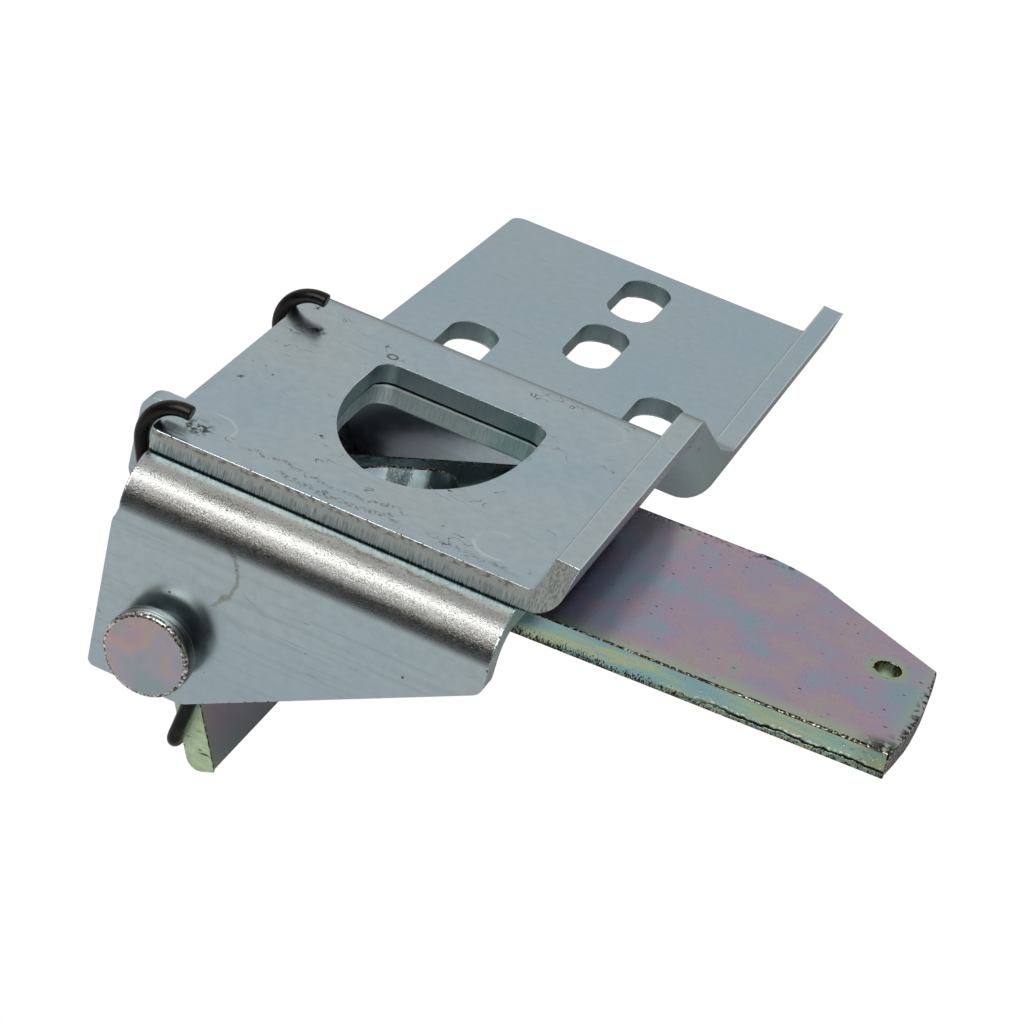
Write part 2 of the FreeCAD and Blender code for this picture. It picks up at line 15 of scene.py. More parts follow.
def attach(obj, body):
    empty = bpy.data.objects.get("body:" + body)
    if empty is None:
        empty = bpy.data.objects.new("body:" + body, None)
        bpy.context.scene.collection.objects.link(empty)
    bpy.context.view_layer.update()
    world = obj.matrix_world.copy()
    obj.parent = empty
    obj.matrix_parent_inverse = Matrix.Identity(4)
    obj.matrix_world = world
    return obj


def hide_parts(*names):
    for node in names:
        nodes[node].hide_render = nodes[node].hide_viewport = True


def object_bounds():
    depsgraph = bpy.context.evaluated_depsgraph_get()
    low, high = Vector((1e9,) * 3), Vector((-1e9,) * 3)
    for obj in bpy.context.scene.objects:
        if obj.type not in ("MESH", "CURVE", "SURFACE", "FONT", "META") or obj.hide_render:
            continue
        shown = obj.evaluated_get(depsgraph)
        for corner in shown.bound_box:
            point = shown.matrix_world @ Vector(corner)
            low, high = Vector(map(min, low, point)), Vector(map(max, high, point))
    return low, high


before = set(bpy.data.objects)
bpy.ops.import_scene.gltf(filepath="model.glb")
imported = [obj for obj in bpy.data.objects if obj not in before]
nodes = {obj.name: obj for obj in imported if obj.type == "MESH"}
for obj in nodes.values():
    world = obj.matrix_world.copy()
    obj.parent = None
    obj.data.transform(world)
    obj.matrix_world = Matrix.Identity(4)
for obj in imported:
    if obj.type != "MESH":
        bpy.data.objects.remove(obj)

cad_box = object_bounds()
scene = bpy.context.scene
print("solids:", ", ".join(sorted(nodes)))

# %% [markdown]
# ## Colours and nodes
# A matched colour is an sRGB hex value, while a shader wants linear light, so
# one function turns one into the other. A second function adds a shader node
# with its settings and links. A material then reads as a list of steps, which
# is easier to follow and to change than a drawn graph.

# %% Colours and nodes
MM = 0.001
WHITE = (1.0, 1.0, 1.0, 1.0)


def linear(hex_colour):
    """Linear light of an sRGB hex colour, with full alpha."""
    shares = [int(hex_colour[k:k + 2], 16) / 255.0 for k in (0, 2, 4)]
    light = [c / 12.92 if c <= 0.04045 else ((c + 0.055) / 1.055) ** 2.4 for c in shares]
    return light + [1.0]


class Material:
    """A new node material, or the nodes of an owner such as the world."""

    def __init__(self, name, owner=None):
        self.data = owner or bpy.data.materials.new(name)
        self.data.use_nodes = True
        self.tree = self.data.node_tree
        self.tree.nodes.clear()

    def add(self, kind, inputs=None, stops=(), **settings):
        """Add a node with its settings, set or link its sockets, fill its ramp."""
        node = self.tree.nodes.new("ShaderNode" + kind)
        for key, value in settings.items():
            setattr(node, key, value)
        for key, value in (inputs or {}).items():
            if isinstance(value, bpy.types.NodeSocket):
                self.tree.links.new(value, node.inputs[key])
            elif isinstance(value, str):
                node.inputs[key].default_value = linear(value)
            else:
                node.inputs[key].default_value = value
        for _ in stops[2:]:
            node.color_ramp.elements.new(0.5)
        for k, (position, value) in enumerate(stops):
            element = node.color_ramp.elements[k]
            element.position = position
            element.color = linear(value) if isinstance(value, str) else (value, value, value, 1)
        return node.outputs[0] if node.outputs else None


print("hex 808080 is", round(linear("808080")[0], 3), "in linear light")

# %% [markdown]
# ## Where the patterns lie
# Wear could be painted on an unwrapped picture. Here it is worked out at each
# point from the solid's own coordinates in millimetres and its own normal. Then
# a pattern's scale can be read off the real part, nothing is stretched over the
# bends, and the wear stays in place when the lever moves.


# %% Coordinates in millimetres
class Place:
    """Millimetre coordinates and normal of a solid, split into their parts."""

    def __init__(self, m):
        corner = m.add("TexCoord").node
        self.mm = m.add("VectorMath", {0: corner.outputs["Object"], "Scale": 1 / MM},
                        operation="SCALE")
        self.x, self.y, self.z = m.add("SeparateXYZ", {0: self.mm}).node.outputs
        parts = m.add("SeparateXYZ", {0: corner.outputs["Normal"]}).node.outputs
        self.nx, self.ny, self.nz = parts
        self.steep_x, self.steep_y, self.steep_z = [
            m.add("Math", {0: part}, operation="ABSOLUTE") for part in parts]


print("one metre is", 1 / MM, "units of a pattern")

# %% [markdown]
# ## Masks and coats
# A mask is a number from 0 to 1 that says where a mark lies: above a height, on
# faces that look up, near a point. Masks are multiplied where all must hold,
# and the largest counts where any may hold. A finish is then painted in coats,
# each colour over the last one through its own mask.


# %% Masks and coats
def between(m, value, low, high):
    """0 below low and 1 above high, or the other way round if low is above high."""
    ends = {1: low, 2: high} if low < high else {1: high, 2: low, 3: 1.0, 4: 0.0}
    return m.add("MapRange", {0: value, **ends}, interpolation_type="SMOOTHSTEP")


def product(m, first, *others):
    """A mask that holds where all of them hold."""
    for mask in others:
        first = m.add("Math", {0: first, 1: mask}, operation="MULTIPLY")
    return first


def either(m, first, *others):
    """A mask that holds where any of them holds."""
    for mask in others:
        first = m.add("Math", {0: first, 1: mask}, operation="MAXIMUM")
    return first


def painted(m, base, *coats):
    """A colour under coats of (mask, colour), each over the one before."""
    for mask, colour in coats:
        base = m.add("MixRGB", {"Fac": mask, "Color1": base, "Color2": colour})
    return base


def apart(m, value, centre):
    """How far a value lies from a centre, without its sign."""
    gap = m.add("Math", {0: value, 1: centre}, operation="SUBTRACT")
    return m.add("Math", {0: gap}, operation="ABSOLUTE")


def away(m, first, second, spot):
    """Distance from a spot, measured along two of the coordinates."""
    flat = m.add("CombineXYZ", {0: first, 1: second})
    measured = m.add("VectorMath", {0: flat, 1: (*spot, 0)}, operation="DISTANCE")
    return measured.node.outputs["Value"]


print("masks: between, product, either, with painted coats")

# %% [markdown]
# ## Patterns
# Three patterns make all the wear. Noise gives clouds, mottle and streaks, and
# its features grow longer along an axis where pull is small. Cells with a dot
# in some of them give dents and pits. The middle line of a long drawn noise
# gives hair scratches. Each one takes how many features lie on a millimetre: at
# 0.5 per mm a lump is about 2 mm across.


# %% Patterns
def noise(m, where, per_mm, detail=2.0, seed=0.0, pull=(1, 1, 1)):
    """Noise with so many lumps to a millimetre, from 0 to 1."""
    moved = m.add("VectorMath", {0: where, 1: pull, 2: (seed, seed * 1.7, seed * 0.6)},
                  operation="MULTIPLY_ADD")
    return m.add("TexNoise", {"Vector": moved, "Scale": per_mm, "Detail": detail})


def specks(m, where, per_mm, share, size):
    """Scattered dents: a share of the cells holds one, of random size."""
    cell = m.add("TexVoronoi", {"Vector": where, "Scale": per_mm}).node
    picked = m.add("SeparateColor", {0: cell.outputs["Color"]}).node.outputs
    holds = between(m, picked[0], 1.0 - share, 1.0 - share + 0.02)
    reach = m.add("MapRange", {0: picked[1], 3: size * 0.4, 4: size})
    inside = m.add("Math", {0: reach, 1: cell.outputs["Distance"]}, operation="SUBTRACT")
    return product(m, holds, between(m, inside, 0.0, size * 0.4))


def scratches(m, p, turn, per_mm, width, seed):
    """Hair lines along a turned X axis, broken into runs of about 11 mm."""
    aligned = m.add("VectorRotate", {"Vector": p.mm, "Rotation": turn},
                    rotation_type="EULER_XYZ")
    drawn_out = noise(m, aligned, per_mm, 0.0, seed, (0.02, 1, 1))
    line = between(m, apart(m, drawn_out, 0.5), width, width * 0.3)
    return product(m, line, between(m, noise(m, p.mm, 0.09, 2.0, seed + 3.0), 0.5, 0.62))


print("patterns: noise, specks, scratches")

# %% [markdown]
# ## Camera
# The view is the photograph's: a long lens half a metre away, a little above
# the latch and to the right of its front. It rolls by about sixteen degrees,
# because the latch lies on its tail and its handle's tip. The numbers were
# solved from straight edges of the part, which is surer than turning a camera
# by hand until the edges seem to fall in place.

# %% Camera
AZIMUTH, ELEVATION, ROLL = [math.radians(angle) for angle in (14.113, 30.362, 15.754)]
TARGET, DISTANCE = Vector((5.35, -8.3, 0)), 495.293
SHIFT_X, SHIFT_Y = -13.047, 6.149  # millimetres to the side and up
FOCAL_PX, FRAME_PX, SENSOR = 3126.966, 1025, 36.0

back = Vector((math.sin(AZIMUTH) * math.cos(ELEVATION),
               -math.cos(AZIMUTH) * math.cos(ELEVATION), math.sin(ELEVATION)))
right = Vector((math.cos(AZIMUTH), math.sin(AZIMUTH), 0))
up = back.cross(right)
cam_x = math.cos(ROLL) * right + math.sin(ROLL) * up
cam_y = -math.sin(ROLL) * right + math.cos(ROLL) * up
stand = (TARGET + back * DISTANCE - SHIFT_X * cam_x - SHIFT_Y * cam_y) * MM

camera_data = bpy.data.cameras.new("camera")
camera_data.sensor_width = SENSOR
camera_data.lens = FOCAL_PX / FRAME_PX * SENSOR
camera_data.clip_start, camera_data.clip_end = 0.01, 10.0
camera = bpy.data.objects.new("camera", camera_data)
scene.collection.objects.link(camera)
facing = Matrix((cam_x, cam_y, back)).transposed()
camera.matrix_world = Matrix.Translation(stand) @ facing.to_4x4()
scene.camera = camera
print("camera at", [round(c, 4) for c in stand], "lens", round(camera_data.lens, 2))

# %% [markdown]
# ## Round bodies
# Their round forms are built here from rings of points, joined by quads and
# closed with a flat face at each end. A ready-made curve with a bevel would
# also give round wire, but it has no rounded tip.

# %% Rings into a body
WIRE_SIDES = 24
WIRE_TIP = ((0.0, 0.80), (0.10, 0.95), (0.28, 1.0))


def skin(name, rings, worn=()):
    """A closed body over rings in millimetres. Worn strips get material slot 1."""
    sides = len(rings[0])
    faces, slots = [], []
    for i in range(len(rings) - 1):
        for k in range(sides):
            n = (k + 1) % sides
            faces.append((i * sides + k, i * sides + n, (i + 1) * sides + n, (i + 1) * sides + k))
            slots.append(1 if i in worn else 0)
    last = (len(rings) - 1) * sides
    faces += [tuple(reversed(range(sides))), tuple(range(last, last + sides))]
    slots += [0, 0]
    mesh = bpy.data.meshes.new(name)
    mesh.from_pydata([point * MM for ring in rings for point in ring], [], faces)
    for face, slot in zip(mesh.polygons, slots):
        face.use_smooth = len(face.vertices) == 4
        face.material_index = slot
    body = bpy.data.objects.new(name, mesh)
    scene.collection.objects.link(body)
    return body


def tube(name, path, radius, free_start=False):
    """Round wire along a path, with a softened tip where its start is free."""
    turns = [2 * math.pi * k / WIRE_SIDES for k in range(WIRE_SIDES)]
    rings, across = [], None
    for i, point in enumerate(path):
        ahead = (path[min(i + 1, len(path) - 1)] - path[max(i - 1, 0)]).normalized()
        if across is None:
            across = ahead.orthogonal().normalized()
        across = (across - ahead * across.dot(ahead)).normalized()
        over = ahead.cross(across)
        for forward, share in WIRE_TIP if i == 0 and free_start else ((0.0, 1.0),):
            rings.append([point + ahead * forward
                          + (across * math.cos(t) + over * math.sin(t)) * radius * share
                          for t in turns])
    return skin(name, rings)


print("wire has", WIRE_SIDES, "sides")

# %% [markdown]
# ## Spring path
# The real spring is one wire, wound into two coils on the pin. Its free ends
# hook over the plate's left edge, and a bridge between the coils pushes the
# lever's tail. Each half is drawn as one path: the hook's arc, a straight leg
# that bends softly into the coil, the coil with its pitch, and half of the
# bridge. The other half is its mirror image.

# %% Spring path
PIN = Vector((-22.85, 0, -31.65))
WIRE_RADIUS, COIL_RADIUS = 1.25, 5.5
# Angles round the pin where the wire comes onto the coil and leaves it, and the
# turn between them, a little over two rounds.
ARRIVES, LEAVES, COIL_TURN = math.radians(60), -0.16245, 13.7763
INNER_Y, OUTER_Y = -22.95, -28.694
HOOK_CENTRE, HOOK_RADIUS = Vector((-30.615, -25.15, -3.2)), 6.5
HOOK_TIP, HOOK_LEAVES = math.radians(80), math.radians(198)
BRIDGE = Vector((-21.751, 0, -58.95))
LEG_BEND, BRIDGE_BEND = 4.0, 2.5
COIL_STEPS, HOOK_STEPS = 110, 24


def round_corner(before, corner, after, radius, count=10):
    """Points of an arc that rounds a corner of the wire."""
    a, b = (before - corner).normalized(), (after - corner).normalized()
    half = a.angle(b) / 2
    centre = corner + (a + b).normalized() * (radius / math.sin(half))
    first = corner + a * (radius / math.tan(half)) - centre
    last = corner + b * (radius / math.tan(half)) - centre
    return [centre + first.slerp(last, k / count) * radius for k in range(count + 1)]


def on_coil(angle, y):
    return PIN + Vector((COIL_RADIUS * math.cos(angle), y, COIL_RADIUS * math.sin(angle)))


def coil_run(start, end, count):
    """Part of the coil, from a share start to a share end of its turns."""
    shares = [start + (end - start) * k / count for k in range(count + 1)]
    return [on_coil(ARRIVES - COIL_TURN * s, OUTER_Y + (INNER_Y - OUTER_Y) * s)
            for s in shares]


def hook_path():
    """Hook, leg and coil. The leg meets the line along which the coil begins."""
    angles = [HOOK_TIP + (HOOK_LEAVES - HOOK_TIP) * k / HOOK_STEPS
              for k in range(HOOK_STEPS + 1)]
    arc = [HOOK_CENTRE + HOOK_RADIUS * Vector((math.cos(a), 0, math.sin(a))) for a in angles]
    start = on_coil(ARRIVES, OUTER_Y)
    leg = Vector((-math.sin(HOOK_LEAVES), 0, math.cos(HOOK_LEAVES)))
    coil = Vector((-math.sin(ARRIVES), 0, math.cos(ARRIVES)))
    span = start - arc[-1]
    run = (span.x * coil.z - span.z * coil.x) / (leg.x * coil.z - leg.z * coil.x)
    elbow = arc[-1] + leg * run
    return arc + round_corner(arc[-1], elbow, start, LEG_BEND) + coil_run(0.0, 1.0, COIL_STEPS)


def mirrored(path):
    return [Vector((p.x, -p.y, p.z)) for p in path]


front = hook_path()
print("points from hook to coil:", len(front))

# %% [markdown]
# ## Spring pieces
# When the lever moves, the hooks and coils stay with the frame, and the bridge
# follows the tail. So the spring is split into three pieces. A short run of
# coil goes with the bridge, a hair thinner and inside the last turn, so that no
# gap opens between them.

# %% Spring pieces
BRIDGE_THINNER, COIL_SHARE = 0.01, 0.955

start = on_coil(LEAVES, INNER_Y)
corner = Vector((BRIDGE.x, INNER_Y, BRIDGE.z))
half = coil_run(COIL_SHARE, 1.0, 6) + round_corner(start, corner, BRIDGE, BRIDGE_BEND)
bridge = half + mirrored(reversed(half))

wires = [tube("spring_front_wire", front, WIRE_RADIUS, free_start=True),
         tube("spring_rear_wire", mirrored(front), WIRE_RADIUS, free_start=True),
         tube("spring_bridge_wire", bridge, WIRE_RADIUS - BRIDGE_THINNER)]
for wire, body in zip(wires, ("frame", "frame", "lever")):
    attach(wire, body)
    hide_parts("torsion_spring")
print("wire faces:", [len(w.data.polygons) for w in wires])

# %% [markdown]
# ## Pivot pin
# The real pin is turned from bar: a flat head with a rounded rim, the shank and
# a tapered end. A cylinder with a bevel would leave the head's two rims alike,
# so the pin is turned from one outline, as on a lathe. The rounded strips of
# the head take the bare, worn rim.

# %% Pivot pin
PIN_SIDES = 96
# (radius, y) in millimetres: the face and its rim, the back of the head, the
# fillet, the shank and the tapered end.
PIN_OUTLINE = [
    (6.8, -40.8), (7.07, -40.75), (7.28, -40.61), (7.42, -40.4), (7.48, -40.12),
    (7.48, -37.95), (7.42, -37.75), (7.22, -37.65),
    (4.3, -37.65), (4.08, -37.56), (4.0, -37.35), (4.0, 40.8), (3.0, 41.8)]
WORN_STRIPS = (0, 1, 2, 3, 5, 6)


def turned(name, outline, worn):
    """A body of revolution round the pin's axis, from (radius, y) pairs."""
    angles = [2 * math.pi * k / PIN_SIDES for k in range(PIN_SIDES)]
    rings = [[PIN + Vector((radius * math.cos(t), y, radius * math.sin(t))) for t in angles]
             for radius, y in outline]
    return skin(name, rings, worn)


pin = turned("clevis_pin", PIN_OUTLINE, WORN_STRIPS)
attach(pin, "frame")
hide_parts("pivot_pin")
print("pin faces:", len(pin.data.polygons))

# %% [markdown]
# ## Clear zinc
# The plate and the bracket are rolled steel sheet under bright zinc with a
# clear, bluish passivation. The eye gets a cool grey metal with soft clouds and
# a satin reflection. The crystals of such a coat are some hundredths of a
# millimetre, too fine to show, so the grain is drawn at 0.3 mm. A sheared edge
# has the same zinc over a rougher cut, with streaks across the sheet.


# %% Clear zinc
def zinc_skin(m, p, seed):
    """Colour, roughness and grain of plated sheet."""
    cloud = noise(m, p.mm, 0.03, 2.0, seed)
    mottle = noise(m, p.mm, 0.6, 5.0, seed + 4)
    grain = noise(m, p.mm, 3.2, 3.0, seed)
    colour = m.add("ValToRGB", {0: cloud},
                   stops=[(0.30, "9cb2bc"), (0.5, "a5b5bb"), (0.72, "acb6b8")])
    shade = m.add("MapRange", {0: mottle, 1: 0.3, 2: 0.7, 3: 0.955, 4: 1.03})
    colour = m.add("MixRGB", {"Fac": 1.0, "Color1": colour, "Color2": shade},
                   blend_type="MULTIPLY")
    rough = m.add("MapRange", {0: mottle, 1: 0.3, 2: 0.7, 3: 0.27, 4: 0.21})
    return colour, rough, grain


def sheared(m, p, seed):
    """Colour, roughness and streaks of a sheared edge. A streak is 0.2 mm wide."""
    streak = noise(m, p.mm, 4.5, 3.0, seed, (1, 1, 0.10))
    colour = m.add("ValToRGB", {0: streak},
                   stops=[(0.30, "7d8988"), (0.48, "abb8b6"), (0.68, "c3cecb")])
    rough = m.add("MapRange", {0: streak, 1: 0.3, 2: 0.7, 3: 0.50, 4: 0.36})
    return colour, rough, streak


def finish_metal(m, colour, rough, height, depth_mm, metallic=1.0):
    """Close a material: metal in this colour, with bumps of this depth."""
    bump = m.add("Bump", {"Height": height, "Strength": 1.0, "Distance": depth_mm * MM})
    shader = m.add("BsdfPrincipled", {"Base Color": colour, "Metallic": metallic,
                                      "Roughness": rough, "Normal": bump})
    m.add("OutputMaterial", {"Surface": shader})
    return m.data


print("clear zinc: sheet and sheared edge")

# %% [markdown]
# ## Wear and a painted reflection on the plate
# The welds under the pad have left four faint rings of 4 mm radius. Brown rubs
# run along the pad's front, smears lie where the hooks rub, and a few fine
# curls and one small punched ring show on the pad. A dark patch under the front
# hook's wire is a painted reflection of the hook. Each is a mask of its own, so
# that one mark can be moved or faded alone.

# %% Wear and a painted reflection on the plate
# Places are (x, y) in millimetres. A rub has its y, how far it wanders, its
# thickness and its two ends along x. A smear has its x, y and radius.
WELD_RINGS = ((22.3, -20.3), (22.6, 25.7), (-27.6, -20.8), (-27.8, 22.6))
WELD_SPAN = 8.0
PLATE_RUBS = ((-23.0, 7.0, 0.22, (-22.0, 9.0)),
              (-26.0, 5.5, 0.35, (-15.0, 8.5)),
              (-25.4, 6.0, 0.30, (11.0, 27.0)))
HOOK_SMEARS = ((-29.0, -22.8, 3.2), (-28.4, 20.4, 2.2))
PUNCHED_RING = (-14.8, 21.9)


def weld_rings(m, p, worn):
    """Four rings with a raised rim, broken round their turn."""
    rims = []
    for centre in WELD_RINGS:
        far = m.add("Math", {0: away(m, p.x, p.y, centre), 1: WELD_SPAN}, operation="DIVIDE")
        rims.append(m.add("ValToRGB", {0: far},
                          stops=[(0.42, 0.0), (0.47, 1.0), (0.50, 1.0), (0.55, 0.0)]))
    return product(m, either(m, *rims), between(m, worn, 0.35, 0.6))


def rub_line(m, p, wobble, level, reach, ends, wide, narrow):
    """A wavy line along X that keeps near y = level, from one end to the other."""
    line = m.add("Math", {0: wobble, 1: reach, 2: level - reach / 2}, operation="MULTIPLY_ADD")
    low, high = ends
    return product(m, between(m, apart(m, p.y, line), wide, narrow),
                   between(m, p.x, low, low + 3), between(m, p.x, high, high - 3))


def pad_marks_and_hook_reflection(m, p, colour, worn, on_pad):
    """Rubs, smears, a painted reflection of the front hook, dents and curls over the colour of
    the pad.
    """
    wobble = noise(m, p.mm, 0.22, 3.0, 2.0, (1, 0.15, 0))
    for level, reach, thick, ends in PLATE_RUBS:
        rub = rub_line(m, p, wobble, level, reach, ends, thick * 2.6, thick)
        crumbs = between(m, noise(m, p.mm, 1.6, 4.0, level), 0.42, 0.62)
        faded = m.add("MapRange", {0: wobble, 3: 0.5, 4: 0.9})
        colour = painted(m, colour, (product(m, rub, on_pad, crumbs, faded), "6a6059"))
    for x, y, wide in HOOK_SMEARS:
        smear = between(m, away(m, p.x, p.y, (x, y)), wide, wide * 0.4)
        crumbs = between(m, noise(m, p.mm, 1.1, 5.0, x), 0.44, 0.58)
        colour = painted(m, colour, (product(m, smear, crumbs, on_pad), "3f403f"))
    # Painted reflection: a dark patch on the pad under the front hook's wire.
    shade = product(m, between(m, p.x, -34.4, -33.4), between(m, p.x, -28.4, -30.4),
                    between(m, p.y, -27.6, -26.9), between(m, p.y, -23.9, -25.0),
                    between(m, worn, 0.25, 0.45), on_pad, 0.85)
    curl = product(m, between(m, apart(m, noise(m, p.mm, 0.35, 1.0, 17.0), 0.5), 0.016, 0.006),
                   between(m, noise(m, p.mm, 0.22, 1.0, 27.0), 0.63, 0.68), on_pad)
    far = away(m, p.x, p.y, PUNCHED_RING)
    punched = product(m, between(m, far, 0.5, 0.7), between(m, far, 1.15, 0.9), on_pad)
    return painted(m, colour, (shade, "303233"), (specks(m, p.mm, 0.22, 0.10, 0.14), "4c4d4a"),
                   (curl, "565959"), (punched, "5c5f5b"))


print("marks on the pad:", len(WELD_RINGS), "welds,", len(PLATE_RUBS), "rubs")

# %% [markdown]
# ## Edges of the plate
# A sheared edge has a polished band under its upper rim. The front edge shows
# it, with some rust, and along its foot a dark wavy line is painted shade where
# the plate sits on the bracket. The walls of the opening are greyer, and a
# painted dark line of shade marks the gap to the bracket under them. The lip's
# front end is cut across, so it is torn all over.


# %% Edges of the plate
def plate_edges(m, p):
    """Mask, colour, roughness and streaks of the plate's edges."""
    colour, rough, streak = sheared(m, p, 5.0)
    left_of_lip = between(m, p.x, 29.0, 28.5)
    front = between(m, p.y, -27.2, -27.6)
    front_face = between(m, p.y, -27.6, -28.0)
    inner = product(m, between(m, p.y, -27.6, -27.2), between(m, p.x, -31.0, -30.0),
                    left_of_lip)
    fringe = m.add("MapRange", {0: streak, 3: -0.5, 4: 0.5})
    level = m.add("Math", {0: p.z, 1: fringe}, operation="ADD")

    polished = product(m, between(m, level, -2.2, -1.6), front, 0.75)
    rust = noise(m, p.mm, 0.9, 4.0, 31.0, (1, 1, 1.5))
    stained = product(m, between(m, level, -1.3, -0.7), front, between(m, rust, 0.46, 0.60),
                      between(m, p.x, 29.0, 27.0), 0.7)
    tears = noise(m, p.mm, 6.0, 3.0, 41.0, (1, 1, 0.25))
    lip_end = product(m, between(m, p.x, 30.5, 32.0), front_face,
                      between(m, tears, 0.50, 0.58), 0.5)
    # Painted shade where the plate sits on the bracket, at the foot of the front edge and on the
    # inner walls.
    torn_and_foot_shade = product(m, front_face, between(m, level, -3.45, -3.85))
    gap_shade = product(m, inner, between(m, p.z, -3.5, -3.65), between(m, p.z, -4.3, -4.1),
                   between(m, p.y, 29.5, 28.5))
    colour = painted(m, colour, (product(m, inner, 0.85), "8a9da0"), (polished, "bdc0bb"),
                     (stained, "6e604f"), (lip_end, "5b5a55"), (torn_and_foot_shade, "222626"),
                     (gap_shade, "101314"))
    free = either(m, left_of_lip, between(m, p.steep_y, 0.8, 0.95))
    return product(m, between(m, p.steep_z, 0.45, 0.2), free), colour, rough, streak


print("edge marks: polish, rust, tears, seam")

# %% [markdown]
# ## Plate finish
# The plate's clear zinc turns bluer towards the rear and greener on the lip's
# outer side. The marks of the pad and the sheared edges go over it.


# %% Plate finish
def plate_finish():
    m = Material("clear zinc plate")
    p = Place(m)
    colour, rough, grain = zinc_skin(m, p, 0.0)
    relief = m.add("Math", {0: grain, 1: 0.25}, operation="MULTIPLY")
    bluer = m.add("MapRange", {0: p.y, 1: 30.0, 2: 100.0, 3: 0.0, 4: 0.45})
    outside = product(m, between(m, p.nx, 0.6, 0.8), between(m, p.y, 30.0, 40.0),
                      between(m, p.z, -3.0, -8.0), 0.6)
    colour = painted(m, colour, (bluer, "93abb5"), (outside, "98b6ae"))

    on_pad = product(m, between(m, p.nz, 0.95, 0.99), between(m, p.z, -0.6, -0.2),
                     between(m, p.x, 29.5, 29.0))
    worn = noise(m, p.mm, 0.16, 2.0, 9.0)
    rings = product(m, weld_rings(m, p, worn), on_pad)
    faint = product(m, rings, m.add("MapRange", {0: worn, 3: 0.3, 4: 0.8}),
                    m.add("MapRange", {0: p.y, 1: -20.0, 2: 20.0, 3: 1.0, 4: 0.45}))
    colour = painted(m, colour, (faint, "c9cecb"))
    relief = m.add("Math", {0: rings, 1: 1.2, 2: relief}, operation="MULTIPLY_ADD")
    colour = pad_marks_and_hook_reflection(m, p, colour, worn, on_pad)

    hair = scratches(m, p, (0, 0, 0.12), 1.4, 0.012, 3.0)
    rough = m.add("Math", {0: hair, 1: 0.12, 2: rough}, operation="MULTIPLY_ADD")
    hair = product(m, hair, m.add("MapRange", {0: worn, 3: 0.1, 4: 0.3}))
    colour = painted(m, colour, (hair, "7f8586"))

    cut, edge_colour, edge_rough, streak = plate_edges(m, p)
    return finish_metal(m, painted(m, colour, (cut, edge_colour)),
                        painted(m, rough, (cut, edge_rough)),
                        painted(m, relief, (cut, streak)), 0.02)


plate_metal = plate_finish()
print("finish:", plate_metal.name)

# %% [markdown]
# ## Wear and painted light on the bracket
# The bracket has the same zinc. Its long bends are grainy like orange peel, in
# lumps of 0.3 mm and 0.12 mm, because the sheet's outer skin was stretched
# there. They catch the light in a broad bright band, and they are painted
# lighter as a painted highlight. Below it a dark band, broken by the grain, is
# a painted reflection of the dark room in front. The cheeks show streaks along
# the rolling direction, hair scratches and a tide mark beside the pin's head,
# and their upright faces are painted a little lighter as painted light.

# %% Wear and painted light on the bracket
# A rub has its y, its thickness and its two ends along x. The tide mark is part
# of a circle round (x, z).
BRACKET_RUBS = ((-31.6, 0.5, (-25.0, -11.0)), (-30.1, 0.25, (-6.0, 24.0)))
RUB_REACH = 3.0
TIDE_CENTRE = (-19.0, -15.5)


def bend_painted_light_and_rubs(m, p, colour, bend, grain, coarse):
    """The bends' painted highlight and grain, the painted dark reflection band and the rubs."""
    # Painted reflection: a dark band low on the bend, where it mirrors the dark room in front.
    dark_reflection_band = product(m, between(m, p.steep_y, 0.56, 0.82), between(m, p.steep_z, 0.02, 0.2),
                       between(m, p.z, -5.0, -7.0))
    band_grain = m.add("MapRange", {0: coarse, 1: 0.38, 2: 0.62, 3: 0.55, 4: 1.0})
    # Painted highlight: the whole bend is painted lighter; the darker grain over it is the peel.
    colour = painted(m, colour, (product(m, bend, 0.75), "c9c6c0"),
                     (product(m, bend, between(m, grain, 0.55, 0.70)), "848482"),
                     (product(m, dark_reflection_band, band_grain), "474440"))
    wobble = noise(m, p.mm, 0.25, 3.0, 2.0, (1, 0, 0))
    for level, thick, ends in BRACKET_RUBS:
        rub = product(m, rub_line(m, p, wobble, level, RUB_REACH, ends, thick * 2.0, thick * 0.6),
                      between(m, p.z, -9.0, -8.0), between(m, coarse, 0.46, 0.58))
        colour = painted(m, colour, (rub, "6f6a60"))
    return colour


def cheek_painted_light_and_marks(m, p, colour, grain, coarse):
    """Painted light on the upright faces, then streaks, scratches, the tide mark and dents."""
    rolled = noise(m, p.mm, 0.9, 3.0, 1.0, (0.03, 1, 1))
    rolled = product(m, between(m, rolled, 0.5, 0.75),
                     m.add("MapRange", {0: grain, 3: 0.1, 4: 0.4}))
    hair = either(m, scratches(m, p, (0, 0.10, 0), 1.2, 0.010, 2.0),
                  scratches(m, p, (0, -0.5, 0), 0.8, 0.006, 8.0))
    hair = product(m, hair, m.add("MapRange", {0: coarse, 3: 0.15, 4: 0.6}))
    far = m.add("Math", {0: noise(m, p.mm, 0.35, 3.0, 4.0), 1: 2.4,
                         2: away(m, p.x, p.z, TIDE_CENTRE)}, operation="MULTIPLY_ADD")
    tide = product(m, between(m, far, 7.0, 7.5), between(m, far, 8.2, 7.7),
                   between(m, p.x, -17.0, -14.5), between(m, p.y, -34.5, -35.0),
                   between(m, coarse, 0.42, 0.56))
    dents = either(m, specks(m, p.mm, 0.35, 0.10, 0.13), specks(m, p.mm, 0.9, 0.05, 0.25))
    # Painted light: the upright faces of the cheeks are painted a little lighter.
    return painted(m, colour, (product(m, between(m, p.steep_y, 0.92, 0.98), 0.35), "b6c1c5"),
                   (rolled, "8b9395"), (hair, "5f6264"), (tide, "77725c"), (dents, "44423e"))


print("rubs on the bend:", len(BRACKET_RUBS))

# %% [markdown]
# ## Bracket finish
# The cut ends of the cheeks are sheared like the plate. The walls of the
# opening in the web are brighter, and a pale line runs along their upper rim,
# where light falls in between the two sheets.


